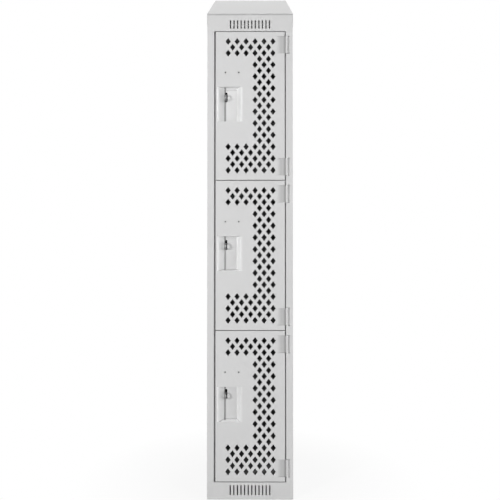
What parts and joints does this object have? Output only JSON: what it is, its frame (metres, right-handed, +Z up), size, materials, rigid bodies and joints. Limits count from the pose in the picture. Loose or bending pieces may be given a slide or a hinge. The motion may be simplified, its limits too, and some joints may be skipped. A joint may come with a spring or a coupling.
{
  "type": "locker cabinet",
  "caption": "Tall narrow steel locker with a sloped hood, vented header and kick rail, and stacked diamond-pierced doors with recessed handles and padlock staples",
  "frame": {"origin": "middle of the footprint on the floor", "axes": "+Z up, doors face -Y, +X to the right as seen from the front"},
  "size_m": [0.3122, 0.4627, 1.9812],
  "materials": {
    "light_grey_paint": "satin light grey powder coat",
    "satin_steel": "satin drawn stainless steel",
    "hinge_steel": "thin grey coat over hinge steel",
    "zinc_plate": "bright zinc plate",
    "black_rubber": "soft black rubber"
  },
  "bodies": {
    "cabinet": {"left_jamb": "light_grey_paint", "right_jamb": "light_grey_paint", "header_rail": "light_grey_paint", "kick_rail": "light_grey_paint", "left_side_panel": "light_grey_paint", "right_side_panel": "light_grey_paint", "back_panel": "light_grey_paint", "top_pan": "light_grey_paint", "bottom_pan": "light_grey_paint", "upper_cross_rail": "light_grey_paint", "upper_shelf": "light_grey_paint", "lower_cross_rail": "light_grey_paint", "lower_shelf": "light_grey_paint", "hood_slope_sheet": "light_grey_paint", "hood_left_gable": "light_grey_paint", "hood_right_gable": "light_grey_paint", "hood_back_sheet": "light_grey_paint", "hood_screws": "zinc_plate", "hood_nuts": "zinc_plate", "shelf_bolts": "zinc_plate", "shelf_nuts": "zinc_plate", "back_rivets": "light_grey_paint", "door_bumpers": "black_rubber", "left_floor_angle": "light_grey_paint", "right_floor_angle": "light_grey_paint", "upper_frame_hinge_leaves": "hinge_steel", "upper_hinge_pins": "zinc_plate", "upper_strike_bracket": "zinc_plate", "upper_padlock_staple": "zinc_plate", "upper_coat_hooks": "zinc_plate", "middle_frame_hinge_leaves": "hinge_steel", "middle_hinge_pins": "zinc_plate", "middle_strike_bracket": "zinc_plate", "middle_padlock_staple": "zinc_plate", "middle_coat_hooks": "zinc_plate", "lower_frame_hinge_leaves": "hinge_steel", "lower_hinge_pins": "zinc_plate", "lower_strike_bracket": "zinc_plate", "lower_padlock_staple": "zinc_plate", "lower_coat_hooks": "zinc_plate"},
    "upper_door": {"upper_door_panel": "light_grey_paint", "upper_door_handle_cup": "satin_steel", "upper_door_stiffener": "light_grey_paint", "upper_door_hinge_leaves": "hinge_steel"},
    "middle_door": {"middle_door_panel": "light_grey_paint", "middle_door_handle_cup": "satin_steel", "middle_door_stiffener": "light_grey_paint", "middle_door_hinge_leaves": "hinge_steel"},
    "lower_door": {"lower_door_panel": "light_grey_paint", "lower_door_handle_cup": "satin_steel", "lower_door_stiffener": "light_grey_paint", "lower_door_hinge_leaves": "hinge_steel"}
  },
  "joints": [
    {"name": "upper_door_hinge", "type": "hinge", "parent": "cabinet", "child": "upper_door", "pos_m": [0.132, -0.2271, 1.396], "axis": [0, 0, 1], "range_deg": [0, 170]},
    {"name": "middle_door_hinge", "type": "hinge", "parent": "cabinet", "child": "middle_door", "pos_m": [0.132, -0.2271, 0.862], "axis": [0, 0, 1], "range_deg": [0, 170]},
    {"name": "lower_door_hinge", "type": "hinge", "parent": "cabinet", "child": "lower_door", "pos_m": [0.132, -0.2271, 0.328], "axis": [0, 0, 1], "range_deg": [0, 170]}
  ]
}
